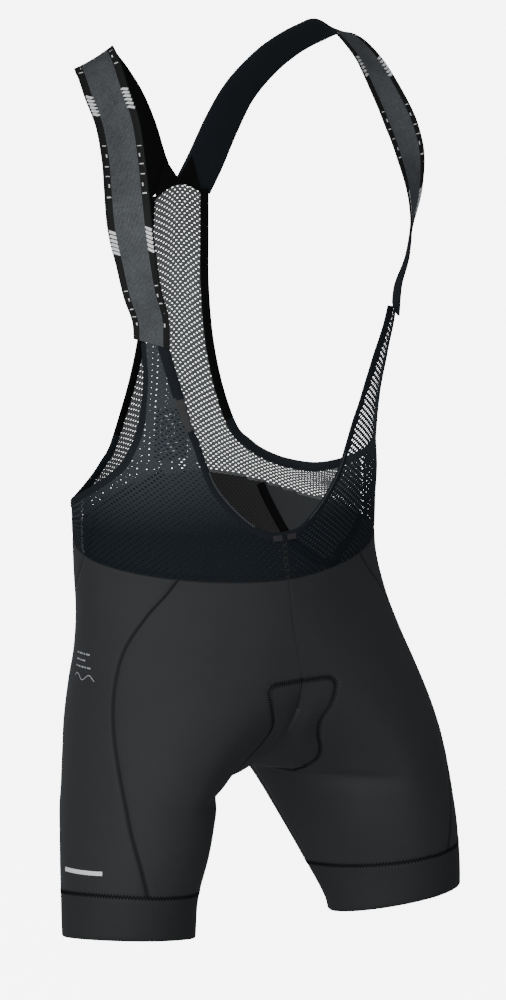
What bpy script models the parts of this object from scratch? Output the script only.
"""Padded cycling bib shorts in their hollow worn form, with no wearer.

The wearer faces -Y, so the wearer's left is +X. The origin is at the shoulders, where the straps hold
the garment up, and everything hangs below it. One body surface carries every panel: horizontal sections
from the named columns of BODY, read at a height z, with a place "along" each section from 0 at the
centre front (or the inseam) to 1 at the centre back. Lengths in the tables are millimetres.
"""

import math
from collections import namedtuple
from functools import lru_cache

import bmesh
import bpy
from mathutils import Vector

MM = 0.001
COLLECTION = "padded_cycling_bib_shorts"

# Cloth
KNIT = 1.0  # wall of the knitted panels
NET = 1.0  # wall of the net panels
PAD = 2.6  # wall of the crotch pad panel, cloth and foam together
TRIM = 1.0  # wall of bindings, tapes, tabs and the label
ELASTIC = 1.6  # wall of the shoulder straps
SEAM_INSET = 0.4  # of each panel from the line of a seam
PAD_INSET = 1.0  # of the pad panel, whose thicker wall leans towards its neighbours inside a bend
LIFT = 0.5  # between a panel and what lies on it

# Waist: the top edge of the knitted panels, higher behind than in front, humped at the centre back
WAIST_HEIGHT = -474.0
WAIST_SLOPE = 0.18
WAIST_HUMP = 24.0
HUMP_REACH = 130.0

# Legs
CROTCH_HEIGHT = -693.0
CROTCH_Y = -14.0
INNER_PACE = 1.3  # measure of an inner stretch of a section for each millimetre of its width
INNER_DEPTH = 0.6  # how much of that measure goes with the depth
RISE_TOP = -585.0  # above this the centre line stays on the outline of the body
HEM_HEIGHT = -838.0
HEM_X = 150.7
HEM_Y = -89.0
HEM_OUTWARD = 0.115  # the hem rises outward and falls backward, square to a leg that leans
HEM_BACKWARD = -0.155
BAND_HEIGHT = 43.5

# Straps
STRAP_WIDTH = 41.0

# Insets and widths of trims
BINDING_WIDTH = 6.0
TRIM_INSET = 0.4  # from a panel's edge to the edge of what is sewn on it
TAPE_WIDTH = 8.0
LABEL_WIDTH, LABEL_HEIGHT, LABEL_MIDDLE = 36.0, 51.0, -399.0
TAB_START, TAB_LENGTH, TAB_WIDTH, TAB_HEIGHT = 3.0, 11.0, 5.5, -455.5
REFLECTIVE_FROM, REFLECTIVE_TO, REFLECTIVE_WIDTH = (0.435, -764.0), (0.53, -770.0), 4.0
YOKE_LIFT = 2.0
YOKE_NOTCH, YOKE_ARM, YOKE_FOOT, YOKE_CORNER = -147.0, (14.6, -125.0), -157.0, (26.0, -164.0)
STRAP_FOOT_BEARING, STRAP_FOOT_HEIGHTS = 58.6, (-254.0, -232.0)
STRAP_FOOT_ACROSS, STRAP_FOOT_LIFT = (20.0, 21.0, -8.0), 3.6
STRAP_SQUARE_FROM = 4  # rows at each end of a strap that are cut at a slant

# Grid counts
FRONT_COLUMNS, SIDE_COLUMNS, BACK_COLUMNS, PAD_COLUMNS, INSERT_COLUMNS = 5, 5, 7, 4, 3
COLUMN_COUNTS = (
    PAD_COLUMNS,
    FRONT_COLUMNS,
    SIDE_COLUMNS,
    INSERT_COLUMNS,
    BACK_COLUMNS,
    PAD_COLUMNS,
)
COLUMN_ENDS = tuple(sum(COLUMN_COUNTS[: k + 1]) for k in range(len(COLUMN_COUNTS)))
NET_ROWS, NET_COLUMNS, STRIP_ROWS = 10, 8, 2
RACER_ROWS, RACER_COLUMNS, LOW_ROWS, LOW_COLUMNS = 9, 3, 3, 8
RACER_FOOT = -405.0
FAN_FOOT = 0.80  # the place on the waist below the armhole's back corner
STRAP_ROWS = 34
EDGE_SCALE = 2.4  # millimetres of cloth for one degree of bearing

Section = namedtuple(
    "Section",
    "z front_x front_y side_x side_y back_x back_y front_square back_square inner_square inseam_x inseam_y",
)
BODY = (
    Section(-120, 0, -128, 166, -25, 0, 62, 3.6, 2.5, 2.0, 0, CROTCH_Y),
    Section(-200, 0, -130, 161, -25, 0, 65, 4.0, 2.5, 2.0, 0, CROTCH_Y),
    Section(-260, 0, -129, 156.5, -25, 0, 68, 3.8, 2.5, 2.0, 0, CROTCH_Y),
    Section(-300, 0, -126, 153, -25, 0, 70, 3.3, 2.5, 2.0, 0, CROTCH_Y),
    Section(-340, 0, -124, 148, -25, 0, 73, 2.9, 2.5, 2.0, 0, CROTCH_Y),
    Section(-380, 0, -124, 150, -25, 0, 77, 2.4, 2.4, 2.0, 0, CROTCH_Y),
    Section(-420, 0, -125, 156, -25, 0, 79, 2.1, 2.3, 2.0, 0, CROTCH_Y),
    Section(-455, 0, -127, 157, -25, 0, 80, 1.9, 2.2, 2.0, 0, CROTCH_Y),
    Section(-500, 0, -137, 157, -30, 0, 80, 1.7, 2.2, 2.0, 0, CROTCH_Y),
    Section(-540, 6, -145, 160, -40, 4, 79, 1.8, 2.1, 2.0, 0, CROTCH_Y),
    Section(-575, 24, -156, 167, -50, 20, 78, 1.9, 2.0, 1.9, 0, CROTCH_Y),
    Section(-605, 50, -163, 175, -58, 40, 74, 2.0, 2.0, 1.7, 0, CROTCH_Y),
    Section(-640, 85, -166, 185, -68, 62, 63, 2.0, 2.0, 1.55, 0, CROTCH_Y),
    Section(-670, 108, -166, 192, -75, 76, 50, 2.0, 2.0, 1.43, 0, CROTCH_Y),
    Section(-693, 118, -165, 197, -78, 86, 39, 2.0, 2.0, 1.38, 0, CROTCH_Y),
    Section(-703, 122, -164, 199, -79, 91, 34, 2.0, 2.0, 1.46, 26, -14),
    Section(-720, 128, -163, 202, -80, 98, 28, 2.0, 2.0, 1.8, 40, -17),
    Section(-760, 140, -162, 207, -84, 116, 9, 2.0, 2.0, 2.1, 59, -30),
    Section(-800, 148, -157, 211, -87, 134, -10, 2.0, 2.0, 2.0, 73, -54),
    Section(-838, 151, -152, 213, -89, 151, -26, 2.0, 2.0, 2.0, 83, -83),
    Section(-860, 152, -150, 213, -90, 152, -30, 2.0, 2.0, 2.0, 86, -87),
)

# Seams as places along the sections
Seam = namedtuple("Seam", "z front back")
SIDE_SEAMS = (
    Seam(-430, 0.24, 0.49),
    Seam(-478, 0.24, 0.505),
    Seam(-503, 0.281, 0.545),
    Seam(-526, 0.335, 0.60),
    Seam(-560, 0.394, 0.615),
    Seam(-602, 0.416, 0.62),
    Seam(-657, 0.408, 0.62),
    Seam(-713, 0.386, 0.62),
    Seam(-779, 0.36, 0.62),
    Seam(-860, 0.34, 0.62),
)

# The crotch pad panel, as its reach along the section from the centre line or the inseam
Pad = namedtuple("Pad", "z front back")
PAD_CALM = 50.0  # the reach from which the columns beside the pad panel spread evenly
PAD_TOP = -592.0
PAD_FOOT = -704.0
PAD_REACH = (
    Pad(-430, 50, 49),
    Pad(-592, 51, 50),
    Pad(-616, 49, 51),
    Pad(-636, 41, 53),
    Pad(-654, 47, 58),
    Pad(-670, 58, 63),
    Pad(-684, 62, 64),
    Pad(-695, 56, 55),
    Pad(-704, 37, 38),
    Pad(-860, 48, 52),
)

# Half-moon inserts at the back of the hips, from the back side seam to a curved seam
INSERT_FOOT = -530.0
Curve = namedtuple("Curve", "z along")
INSERT_SEAM = (
    Curve(-440, 0.785),
    Curve(-455, 0.772),
    Curve(-470, 0.757),
    Curve(-486, 0.738),
    Curve(-503, 0.717),
    Curve(-512, 0.702),
    Curve(-520, 0.684),
    Curve(-526, 0.664),
    Curve(-530, 0.644),
)
ROW_SHARES = (0.0, 0.3, 0.56, 0.77, 0.92, 1.0)
LEVELS = (-562, -592, -616, -636, -654, -670, -684, -695, -704, -719, -738)

# Net panels: their edges as bearings round the body, 0 at the centre front and 180 at the centre back
Edge = namedtuple("Edge", "bearing z")
ARMHOLE_FRONT = (
    Edge(61.5, -250),
    Edge(62.2, -292),
    Edge(64.6, -324),
    Edge(66.9, -345),
    Edge(70.6, -366),
    Edge(75.2, -384),
    Edge(83.3, -401),
    Edge(92.0, -415),
)
ARMHOLE_LOW = (
    Edge(92.0, -415),
    Edge(103.0, -429),
    Edge(113.0, -436),
    Edge(123.3, -433),
    Edge(131.9, -424),
    Edge(137.8, -413),
    Edge(143.5, -398),
)
ARMHOLE_BACK = (
    Edge(143.5, -398),
    Edge(150.4, -355),
    Edge(155.8, -303),
    Edge(158.3, -250),
    Edge(158.6, -205),
    Edge(160.5, -166),
)
NECKLINE = (
    Edge(53.8, -250),
    Edge(50.1, -301),
    Edge(47.0, -337),
    Edge(43.9, -359),
    Edge(40.8, -382),
    Edge(35.9, -406),
    Edge(25.0, -432),
    Edge(12.1, -450),
    Edge(0.0, -454),
)
BACK_TOP = -152.0

# The middle line of the wearer's left strap, from its front end over the shoulder to the back
Stay = namedtuple("Stay", "x y z across_x across_y across_z")
STRAP = (
    Stay(148, -113, -207, 21, 29, -9),
    Stay(154.5, -112, -175, 22, 28, -8),
    Stay(159, -109, -143, 29, 23, -6),
    Stay(158.5, -102, -109, 40, 13, -4),
    Stay(154.5, -90, -79, 42, 6, -6),
    Stay(149, -70, -48, 42, 7, -10),
    Stay(146, -46, -24, 43, 10, -14),
    Stay(139, -20, -6, 43, 6, -18),
    Stay(131, 2, -1, 43, 4, -21),
    Stay(120, 18, -9, 40, 13, -25),
    Stay(105, 32, -21, 38, 16, -29),
    Stay(86, 44, -39, 33, 12, -27),
    Stay(64, 54, -66, 34, 7, -21),
    Stay(47, 59, -97, 35, 3, -18),
    Stay(32, 64, -132, 35, 1, -19),
    Stay(19.5, 67.5, -157, 36, 0, -18),
)

# Course of the inner tape from the centre back to the right insert
Spot = namedtuple("Spot", "along z")
CENTRE_TAPE = (Spot(0.985, -440), Spot(0.93, -449), Spot(0.84, -456), Spot(0.785, -457))


def read(rows, column, at):
    """One column of a table at a height, on a smooth curve through its rows."""
    keys = [row.z for row in rows]
    values = [getattr(row, column) for row in rows]
    at = max(min(at, keys[0]), keys[-1])
    i = next(k for k in range(len(keys) - 1) if at >= keys[k + 1])
    step = keys[i + 1] - keys[i]

    def slope(k):
        low, high = max(k - 1, 0), min(k + 1, len(keys) - 1)
        return (values[high] - values[low]) / (keys[high] - keys[low])

    t = (at - keys[i]) / step
    return (
        values[i] * (1 + 2 * t) * (1 - t) ** 2
        + slope(i) * step * t * (1 - t) ** 2
        + values[i + 1] * t * t * (3 - 2 * t)
        + slope(i + 1) * step * t * t * (t - 1)
    )


def rise_share(z):
    """How far the centre line stands from the crotch towards the body's outline, from 1 down to 0."""
    if z >= RISE_TOP:
        return 1.0
    if z <= CROTCH_HEIGHT:
        return 0.0
    depth = (RISE_TOP - z) / (RISE_TOP - CROTCH_HEIGHT)
    return (1 - depth**1.6) ** 0.52


def quarter(square, steps=18):
    """A quarter turn of a superellipse as (along, across) pairs, from (1, 0) to (0, 1)."""
    for k in range(steps + 1):
        turn = k / steps * math.pi / 2
        c, s = max(math.cos(turn), 0.0), math.sin(turn)
        reach = (c**square + s**square) ** (-1 / square)
        yield c * reach, s * reach


def inner_shares():
    """Places on an inner stretch as shares of its measure, the same whatever its depth."""
    arc = [0.0]
    knots = list(quarter(2.0))
    for (c, s), (next_c, next_s) in zip(knots, knots[1:]):
        arc.append(arc[-1] + math.hypot(next_c - c, INNER_DEPTH * (next_s - s)))
    return [reach / arc[-1] for reach in arc]


@lru_cache(maxsize=None)
def section(z):
    """The wearer's left half of the body at a height, from the centre front round to the centre back.

    The inner stretches, next to the centre line or the inseam, count with a measure that grows evenly
    with the height, so a place on the body keeps its course past the crotch.
    """
    row = Section(z, *(read(BODY, column, z) for column in Section._fields[1:]))
    in_x = max(row.inseam_x, 0.0) if z < CROTCH_HEIGHT else 0.0
    in_y = row.inseam_y if z < CROTCH_HEIGHT else CROTCH_Y
    share = rise_share(z) ** 2

    def inner(out_x, out_y, square):
        for c, s in quarter(square):
            depth = math.sqrt(share + (1 - share) * s * s)
            yield out_x - (out_x - in_x) * c, in_y + (out_y - in_y) * depth

    points = list(inner(row.front_x, row.front_y, row.inner_square))
    measures = [INNER_PACE * row.front_x * part for part in inner_shares()]
    for c, s in quarter(row.front_square):
        x = row.front_x + (row.side_x - row.front_x) * s
        points.append((x, row.side_y + (row.front_y - row.side_y) * c))
    for c, s in quarter(row.back_square):
        x = row.back_x + (row.side_x - row.back_x) * c
        points.append((x, row.side_y + (row.back_y - row.side_y) * s))
    for k in range(len(measures), len(points)):
        measures.append(measures[-1] + math.dist(points[k - 1], points[k]))
    points += reversed(list(inner(row.back_x, row.back_y, 2.0)))
    outer = measures[-1]
    measures += [outer + INNER_PACE * row.back_x * (1 - part) for part in reversed(inner_shares())]
    return points, measures


def body(along, z):
    """The point of the body surface at a place along the section at height z."""
    points, lengths = section(round(z, 3))
    target = min(max(along, 0.0), 1.0) * lengths[-1]
    i = next(k for k in range(len(points) - 1) if lengths[k + 1] >= target or k == len(points) - 2)
    span = lengths[i + 1] - lengths[i]
    t = (target - lengths[i]) / span if span > 0 else 0.0
    (ax, ay), (bx, by) = points[i], points[i + 1]
    return Vector((ax + (bx - ax) * t, ay + (by - ay) * t, z))


def girth(z):
    """The measure of the half section at a height."""
    return section(round(z, 3))[1][-1]


def nudge(along, z, distance):
    """The place a distance in millimetres further along the section."""
    low, high = max(along - 0.004, 0.0), min(along + 0.004, 1.0)
    return along + distance * (high - low) / (body(high, z) - body(low, z)).length


def facing(along, z):
    """The outward direction of the body surface."""
    step = 2.0 / girth(z)
    low, high = max(along - step, 0.0), min(along + step, 1.0)
    around = body(high, z) - body(low, z)
    up = body(along, z + 1.5) - body(along, z - 1.5)
    return around.cross(up).normalized()


def along_at(bearing, z):
    """The place along the section that lies at a bearing round the body's middle, in degrees."""
    points, lengths = section(round(z, 3))
    middle = read(BODY, "side_y", z)
    turns = [math.degrees(math.atan2(x, middle - y)) for x, y in points]
    for k in range(len(points) - 1):
        if turns[k] <= bearing <= turns[k + 1] and turns[k + 1] > turns[k]:
            t = (bearing - turns[k]) / (turns[k + 1] - turns[k])
            return (lengths[k] + (lengths[k + 1] - lengths[k]) * t) / lengths[-1]
    return 0.0 if bearing < 90 else 1.0


def along_back(x, z):
    """The place along the back half of the section that lies at a distance x from the centre."""
    points, lengths = section(round(z, 3))
    for k in range(len(points) - 1, 0, -1):
        (bx, by), (ax, _) = points[k], points[k - 1]
        if bx <= x <= ax and by > read(BODY, "side_y", z):
            t = (x - bx) / (ax - bx) if ax > bx else 0.0
            return (lengths[k] - (lengths[k] - lengths[k - 1]) * t) / lengths[-1]
    return 0.5


def waist(along):
    """The height of the knitted panels' top edge."""
    x, y, _ = body(along, WAIST_HEIGHT)
    hump = WAIST_HUMP * max(0.0, 1 - (x / HUMP_REACH) ** 2) ** 1.3 if y > 0 else 0.0
    return WAIST_HEIGHT + WAIST_SLOPE * y + hump


def hem(along):
    x, y, _ = body(along, HEM_HEIGHT)
    return HEM_HEIGHT + HEM_OUTWARD * (x - HEM_X) + HEM_BACKWARD * (y - HEM_Y)


def mix(a, b, t):
    return a + (b - a) * t


# The rows that every knitted panel shares, each a height that depends on the place along the section
def zone_row(share):
    return lambda along: mix(waist(along), INSERT_FOOT, share)


def level_row(z):
    return lambda along: z


def thigh_row(share):
    return lambda along: mix(LEVELS[-1], hem(along) + BAND_HEIGHT, share)


def band_row(share):
    return lambda along: hem(along) + BAND_HEIGHT * (1 - share)


ROWS = [zone_row(share) for share in ROW_SHARES]
ROWS += [level_row(z) for z in LEVELS]
ROWS += [thigh_row(share) for share in (0.5, 1.0)]
ROWS += [band_row(share) for share in (0.5, 1.0)]
FIRST_LEVEL = len(ROW_SHARES)
PAD_TOP_ROW = FIRST_LEVEL + LEVELS.index(PAD_TOP)
PAD_FOOT_ROW = FIRST_LEVEL + LEVELS.index(PAD_FOOT)
BAND_ROW = len(ROWS) - 3
HEM_ROW = len(ROWS) - 1
INSERT_ROW = FIRST_LEVEL - 1


def front_seam(z):
    return read(SIDE_SEAMS, "front", z)


def back_seam(z):
    return read(SIDE_SEAMS, "back", z)


def pad_front(z):
    return read(PAD_REACH, "front", z) / girth(z)


def pad_back(z):
    return 1 - read(PAD_REACH, "back", z) / girth(z)


def insert_seam(z):
    """The half-moon insert's curved edge, as a place along the section."""
    return read(INSERT_SEAM, "along", z)


def spread(low, high, count):
    return [mix(low, high, k / count) for k in range(count + 1)]


def on_row(row, place):
    """The place along the section where a seam crosses a shared row."""
    along = 0.5
    for _ in range(4):
        along = place(ROWS[row](along))
    return along


def faded(edge, calm, far, count):
    """Places from a winding seam to a far one, settling quickly to an even spread from a calm line."""
    places = []
    for t in spread(0.0, 1.0, count):
        places.append(mix(calm, far, t) + (edge - calm) * (1 - t) ** 3)
    return places


@lru_cache(maxsize=None)
def row_places(row):
    """The places along one shared row where its columns stand, seam by seam."""
    in_front, behind = on_row(row, pad_front), on_row(row, pad_back)
    low, high = on_row(row, front_seam), on_row(row, back_seam)
    calm = PAD_CALM / girth(ROWS[row](0.5))
    if row <= INSERT_ROW:
        halfway = on_row(row, insert_seam)
    else:
        halfway = mix(high, 1 - calm, INSERT_COLUMNS / (INSERT_COLUMNS + BACK_COLUMNS))
    places = spread(0.0, in_front, PAD_COLUMNS)
    places += faded(in_front, calm, low, FRONT_COLUMNS)[1:]
    places += spread(low, high, SIDE_COLUMNS)[1:]
    places += spread(high, halfway, INSERT_COLUMNS)[1:]
    places += faded(behind, 1 - calm, halfway, BACK_COLUMNS)[-2::-1]
    places += spread(behind, 1.0, PAD_COLUMNS)[1:]
    return places


def knit_grid(row, column):
    """The (along, z) place of one vertex of the shared grid of the knitted panels."""
    along = row_places(row)[column]
    return along, ROWS[row](along)


def mesh_of(name, points, faces):
    """A mesh from points in millimetres, with coincident points merged."""
    mesh = bpy.data.meshes.new(name)
    mesh.from_pydata([Vector(p) * MM for p in points], [], faces)
    work = bmesh.new()
    work.from_mesh(mesh)
    bmesh.ops.remove_doubles(work, verts=work.verts, dist=0.02 * MM)
    work.to_mesh(mesh)
    work.free()
    mesh.shade_smooth()
    return mesh


def finish(name, colour, roughness):
    material = bpy.data.materials.new(name)
    material.use_nodes = True
    shader = material.node_tree.nodes["Principled BSDF"]
    shader.inputs["Base Color"].default_value = (*colour, 1)
    shader.inputs["Roughness"].default_value = roughness
    shader.inputs["Metallic"].default_value = 0.0
    return material


def cloth(name, points, faces, wall, material, outward=False, joined=False):
    """A wall of cloth from an open surface; a joined one is a half that meets its mirror image."""
    piece = bpy.data.objects.new(name, mesh_of(name, points, faces))
    bpy.data.collections[COLLECTION].objects.link(piece)
    piece.data.materials.append(material)
    if joined:
        mirror = piece.modifiers.new("Other half", "MIRROR")
        mirror.merge_threshold = 0.00005
    wall_modifier = piece.modifiers.new("Wall", "SOLIDIFY")
    wall_modifier.thickness = wall * MM
    wall_modifier.offset = 1.0 if outward else -1.0
    wall_modifier.use_even_offset = True
    return piece


def mirrored(points, faces):
    return [(-x, y, z) for x, y, z in points], [tuple(reversed(face)) for face in faces]


def pair(name, points, faces, wall, material, outward=False):
    """The same piece for the wearer's left and right."""
    cloth(name + "_left", points, faces, wall, material, outward)
    cloth(name + "_right", *mirrored(points, faces), wall, material, outward)


def panel(cells, place, joined=(), inset=SEAM_INSET):
    """Points and faces of the cells (row, column) of a grid, drawn in a little at its seams.

    place gives a vertex's (along, z), and joined holds the vertices (row, column) that are on no
    seam, because the panel is joined to itself or to its mirror image there.
    """
    cells = set(cells)
    index, points, faces = {}, [], []

    def vertex(row, column):
        if (row, column) not in index:
            upper_left, upper_right = (row - 1, column - 1) in cells, (row - 1, column) in cells
            lower_left, lower_right = (row, column - 1) in cells, (row, column) in cells
            right = (upper_right + lower_right) - (upper_left + lower_left)
            up = (upper_left + upper_right) - (lower_left + lower_right)
            along, z = place(row, column)
            if right and (row, column) not in joined:
                along = nudge(along, z, math.copysign(inset, right))
            if up:
                z += math.copysign(inset, up)
            index[row, column] = len(points)
            points.append(tuple(body(along, z)))
        return index[row, column]

    for row, column in sorted(cells):
        low, high = (row + 1, column), (row, column)
        faces.append(
            (
                vertex(*low),
                vertex(row + 1, column + 1),
                vertex(row, column + 1),
                vertex(*high),
            )
        )
    return points, faces


def block(rows, columns):
    return [(row, column) for row in range(*rows) for column in range(*columns)]


def corners(rows, columns):
    return [(row, column) for row in range(rows[0], rows[1] + 1) for column in columns]


def build_knitted_panels(knit, inner_knit, pad, band):
    pad_end, front_end, side_end, insert_end, back_end, last = COLUMN_ENDS
    front = block((0, PAD_TOP_ROW), (0, pad_end)) + block((PAD_FOOT_ROW, BAND_ROW), (0, pad_end))
    front += block((0, BAND_ROW), (pad_end, front_end))
    pair("front_panel", *panel(front, knit_grid), KNIT, knit)

    side = block((0, BAND_ROW), (front_end, side_end))
    pair("side_panel", *panel(side, knit_grid), KNIT, knit)

    insert = block((0, INSERT_ROW), (side_end, insert_end))
    pair("hip_insert", *panel(insert, knit_grid), KNIT, knit)

    back = block((INSERT_ROW, BAND_ROW), (side_end, insert_end))
    back += block((0, BAND_ROW), (insert_end, back_end))
    back += block((0, PAD_TOP_ROW), (back_end, last)) + block((PAD_FOOT_ROW, BAND_ROW), (back_end, last))
    centre = corners((0, PAD_TOP_ROW), (last,))
    cloth("back_panel", *panel(back, knit_grid, centre), KNIT, inner_knit, joined=True)

    lobes = block((PAD_TOP_ROW, PAD_FOOT_ROW), (0, pad_end))
    lobes += block((PAD_TOP_ROW, PAD_FOOT_ROW), (back_end, last))
    centre = corners((PAD_TOP_ROW, PAD_FOOT_ROW), (0, last))
    cloth("crotch_pad_panel", *panel(lobes, knit_grid, centre, PAD_INSET), PAD, pad, joined=True)

    bands = block((BAND_ROW, HEM_ROW), (0, last))
    inseam = corners((BAND_ROW, HEM_ROW), (0, last))
    pair("leg_band", *panel(bands, knit_grid, inseam), KNIT, band)


def smooth_path(knots, count):
    """Equally spaced points on a smooth curve through a list of points."""
    knots = [Vector(knot) for knot in knots]
    fine = []
    for i in range(len(knots) - 1):
        before, after = knots[max(i - 1, 0)], knots[min(i + 2, len(knots) - 1)]
        a, b = knots[i], knots[i + 1]
        for k in range(12):
            t = k / 12
            fine.append(
                a * (2 * t**3 - 3 * t**2 + 1)
                + (b - before) / 2 * (t**3 - 2 * t**2 + t)
                + b * (3 * t**2 - 2 * t**3)
                + (after - a) / 2 * (t**3 - t**2)
            )
    fine.append(knots[-1])
    lengths = [0.0]
    for a, b in zip(fine, fine[1:]):
        lengths.append(lengths[-1] + (b - a).length)
    path, i = [], 0
    for target in spread(0.0, lengths[-1], count):
        while i < len(fine) - 2 and lengths[i + 1] < target:
            i += 1
        t = (target - lengths[i]) / (lengths[i + 1] - lengths[i])
        path.append(fine[i].lerp(fine[i + 1], min(t, 1.0)))
    return path


def edge_places(edge, count):
    """Equally spaced (along, z) places on the edge of a net panel."""
    knots = [(row.bearing * EDGE_SCALE, row.z, 0.0) for row in edge]
    return [(along_at(p.x / EDGE_SCALE, p.y), p.y) for p in smooth_path(knots, count)]


def front_net_grid():
    armhole = edge_places(ARMHOLE_FRONT, NET_ROWS)
    neckline = edge_places(NECKLINE, NET_ROWS)

    def place(row, column):
        share = column / NET_COLUMNS
        top = min(row, NET_ROWS)
        along = mix(neckline[top][0], armhole[top][0], share)
        z = mix(neckline[top][1], armhole[top][1], share)
        if row > NET_ROWS:
            z = mix(z, waist(along), (row - NET_ROWS) / STRIP_ROWS)
        return along, z

    return place


def back_net_grid():
    low = edge_places(ARMHOLE_LOW, LOW_COLUMNS)
    high = edge_places(ARMHOLE_BACK, RACER_ROWS)
    high.reverse()

    def place(row, column):
        share = max(column - LOW_COLUMNS, 0) / RACER_COLUMNS
        if row <= RACER_ROWS:
            centre = mix(BACK_TOP, RACER_FOOT, row / RACER_ROWS)
            if column < LOW_COLUMNS:
                return low[column]
            return mix(high[row][0], 1.0, share), mix(high[row][1], centre, share**2)
        top = place(RACER_ROWS, column)
        down = (row - RACER_ROWS) / LOW_ROWS
        if column < LOW_COLUMNS:
            foot = mix(low[0][0], FAN_FOOT, column / LOW_COLUMNS)
        else:
            foot = mix(FAN_FOOT, 1.0, share)
        along = mix(top[0], foot, down)
        return along, mix(top[1], waist(along), down)

    return place


def build_net_panels(net):
    front = block((0, NET_ROWS + STRIP_ROWS), (0, NET_COLUMNS))
    pair("front_net", *panel(front, front_net_grid()), NET, net)

    all_columns = LOW_COLUMNS + RACER_COLUMNS
    back = block((0, RACER_ROWS), (LOW_COLUMNS, all_columns))
    back += block((RACER_ROWS, RACER_ROWS + LOW_ROWS), (0, all_columns))
    centre = corners((0, RACER_ROWS + LOW_ROWS), (all_columns,))
    cloth("back_net", *panel(back, back_net_grid(), centre), NET, net, joined=True)


def ribbon(rows):
    """Points and faces of a ribbon from its cross rows, each a list of points."""
    wide = len(rows[0])
    points = [tuple(point) for row in rows for point in row]
    faces = []
    for k in range(len(rows) - 1):
        for i in range(wide - 1):
            a = k * wide + i
            faces.append((a, a + 1, a + wide + 1, a + wide))
    return points, faces


def strip_on_body(places, near, far, lift):
    """Cross rows of a flat strip that follows (along, z) places, between two reaches to its right."""
    course = [body(*place) for place in places]
    out = [facing(*place) for place in places]
    rows = []
    for k, (point, normal) in enumerate(zip(course, out)):
        ahead = course[min(k + 1, len(course) - 1)] - course[max(k - 1, 0)]
        across = ahead.cross(normal).normalized()
        raised = point + normal * lift
        rows.append([raised + across * near, raised + across * far])
    return rows


def build_bindings(binding):
    """Bindings on the net panels' edges, made from the edge points moved out."""
    front, back = front_net_grid(), back_net_grid()
    armhole = [front(row, NET_COLUMNS) for row in range(NET_ROWS + 1)]
    armhole += [back(RACER_ROWS, column) for column in range(1, LOW_COLUMNS + 1)]
    armhole += [back(row, LOW_COLUMNS) for row in range(RACER_ROWS - 1, -1, -1)]
    rows = strip_on_body(armhole, TRIM_INSET, BINDING_WIDTH, LIFT)
    pair("armhole_binding", *ribbon(rows), TRIM, binding, outward=True)

    neckline = [front(row, 0) for row in range(NET_ROWS + 1)]
    neckline.reverse()
    rows = strip_on_body(neckline, TRIM_INSET, BINDING_WIDTH, LIFT)
    for point in rows[0]:
        point.x = SEAM_INSET
    pair("neckline_binding", *ribbon(rows), TRIM, binding, outward=True)


def build_straps(elastic):
    knots, directions = [], []
    for z in STRAP_FOOT_HEIGHTS:
        along = along_at(STRAP_FOOT_BEARING, z)
        knots.append(body(along, z) + facing(along, z) * STRAP_FOOT_LIFT)
        directions.append(Vector(STRAP_FOOT_ACROSS).normalized())
    for stay in STRAP:
        knots.append(Vector((stay.x, stay.y, stay.z)))
        directions.append(Vector((stay.across_x, stay.across_y, stay.across_z)).normalized())
    middle = smooth_path(knots, STRAP_ROWS)
    rows = []
    for k, point in enumerate(middle):
        nearest = min(range(len(knots) - 1), key=lambda i: gap_to(point, knots[i], knots[i + 1]))
        start, end = knots[nearest], knots[nearest + 1]
        share = (point - start).dot(end - start) / (end - start).length_squared
        across = directions[nearest].lerp(directions[nearest + 1], min(max(share, 0.0), 1.0))
        ahead = (middle[min(k + 1, STRAP_ROWS)] - middle[max(k - 1, 0)]).normalized()
        if STRAP_SQUARE_FROM < k < STRAP_ROWS - STRAP_SQUARE_FROM:
            across -= ahead * across.dot(ahead)
        across = across.normalized() * STRAP_WIDTH / 2
        rows.append([point - across, point, point + across])
    pair("shoulder_strap", *ribbon(rows), ELASTIC, elastic, outward=True)


def gap_to(point, start, end):
    """The distance from a point to a straight stretch."""
    line = end - start
    share = min(max((point - start).dot(line) / line.length_squared, 0.0), 1.0)
    return (point - start - line * share).length


def on_back(x, z, lift):
    along = along_back(x, z)
    return body(along, z) + facing(along, z) * lift


def build_yoke(black):
    """The black join between the straps and the top of the back net, on the inside."""
    (top_x, top_z), (foot_x, foot_z) = YOKE_ARM, YOKE_CORNER
    rows = []
    for share in spread(0.0, 1.0, 4):
        top = (top_x * share, mix(YOKE_NOTCH, top_z, share))
        foot = (foot_x * share, mix(YOKE_FOOT, foot_z, share))
        places = [(mix(foot[0], top[0], t), mix(foot[1], top[1], t)) for t in (0, 0.5, 1)]
        rows.append([on_back(x, z, -YOKE_LIFT) for x, z in places])
    for point in rows[0]:
        point.x = 0.0
    cloth("back_yoke", *ribbon(rows), TRIM, black, joined=True)


def build_label(label):
    low, high = LABEL_MIDDLE - LABEL_HEIGHT / 2, LABEL_MIDDLE + LABEL_HEIGHT / 2
    rows = []
    for x in spread(0.0, LABEL_WIDTH / 2, 2):
        rows.append([on_back(x, z, -(NET + 2 * LIFT)) for z in spread(low, high, 3)])
    for point in rows[0]:
        point.x = 0.0
    cloth("care_label", *ribbon(rows), TRIM, label, joined=True)


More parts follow.
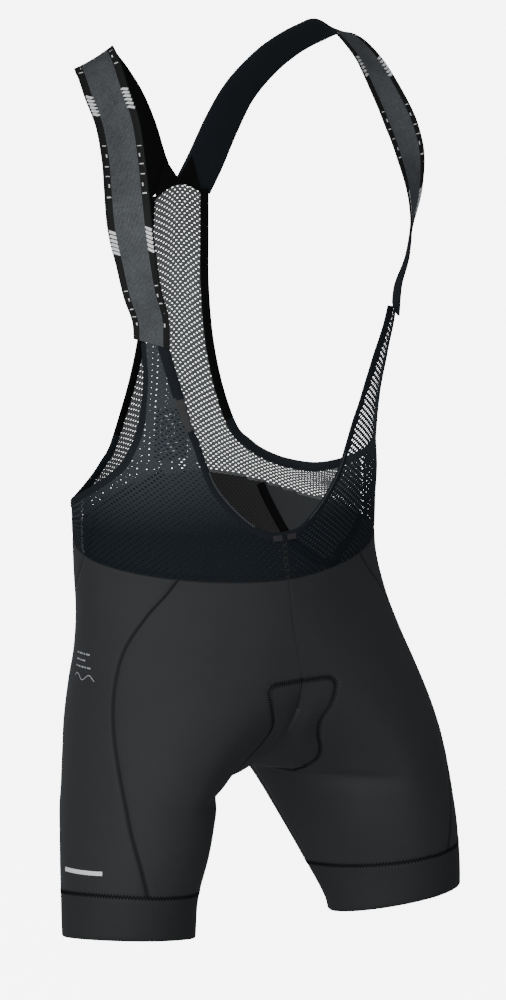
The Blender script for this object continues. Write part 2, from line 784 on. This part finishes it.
def build_inner_tapes(tape):
    """Tapes on the inside: round each insert's seam, and from the centre back to the right insert."""
    inward = -(KNIT + 3 * LIFT)
    top = waist(insert_seam(WAIST_HEIGHT)) - TRIM_INSET
    down = [(insert_seam(z), z) for z in spread(top, INSERT_FOOT, 6)]
    side_top = waist(back_seam(WAIST_HEIGHT)) - TRIM_INSET
    up = [(back_seam(z), z) for z in spread(INSERT_FOOT, side_top, 5)]
    rows = strip_on_body(smooth_places(down + up, 18), -TAPE_WIDTH / 2, TAPE_WIDTH / 2, inward)
    pair("insert_tape", *ribbon(rows), TRIM, tape)
    rows = strip_on_body(smooth_places(CENTRE_TAPE, 8), 0, TAPE_WIDTH, inward)
    points, faces = mirrored(*ribbon(rows))
    cloth("centre_tape_right", points, faces, TRIM, tape)


def smooth_places(places, count):
    knots = [(along * 400, z, 0.0) for along, z in places]
    return [(p.x / 400, p.y) for p in smooth_path(knots, count)]


def build_small_pieces(tab, reflective):
    rows = []
    for x in spread(TAB_START, TAB_START + TAB_LENGTH, 2):
        along = nudge(0.0, TAB_HEIGHT, x)
        raised = 2 * LIFT + TRIM
        rows.append([body(along, z) + facing(along, z) * raised for z in (TAB_HEIGHT, TAB_HEIGHT - TAB_WIDTH)])
    pair("neckline_tab", *ribbon(rows), TRIM, tab, outward=True)

    rows = []
    for share in spread(0.0, 1.0, 6):
        along = mix(REFLECTIVE_FROM[0], REFLECTIVE_TO[0], share)
        low = mix(REFLECTIVE_FROM[1], REFLECTIVE_TO[1], share)
        rows.append([body(along, z) + facing(along, z) * LIFT for z in (low + REFLECTIVE_WIDTH, low)])
    points, faces = mirrored(*ribbon(rows))
    cloth("reflective_strip_right", points, faces, TRIM, reflective, outward=True)


def clear_scene():
    for item in list(bpy.data.objects):
        bpy.data.objects.remove(item)


def main():
    clear_scene()
    collection = bpy.data.collections.new(COLLECTION)
    bpy.context.scene.collection.children.link(collection)
    knit = finish("knit_black", (0.028, 0.030, 0.033), 0.62)
    inner_knit = finish("dotted_knit", (0.022, 0.021, 0.022), 0.7)
    pad = finish("pad_cloth", (0.026, 0.028, 0.031), 0.6)
    band = finish("gripper_band", (0.026, 0.028, 0.031), 0.6)
    net = finish("net", (0.010, 0.014, 0.020), 0.75)
    elastic = finish("strap_elastic", (0.05, 0.055, 0.06), 0.7)
    binding = finish("binding", (0.016, 0.018, 0.022), 0.7)
    black = finish("black_cloth", (0.004, 0.004, 0.005), 0.8)
    label = finish("label_cloth", (0.008, 0.010, 0.016), 0.6)
    tab = finish("tab_tape", (0.16, 0.17, 0.20), 0.7)
    reflective = finish("reflective_film", (0.6, 0.6, 0.62), 0.35)
    build_knitted_panels(knit, inner_knit, pad, band)
    build_net_panels(net)
    build_bindings(binding)
    build_straps(elastic)
    build_yoke(black)
    build_label(label)
    build_inner_tapes(black)
    build_small_pieces(tab, reflective)


main()
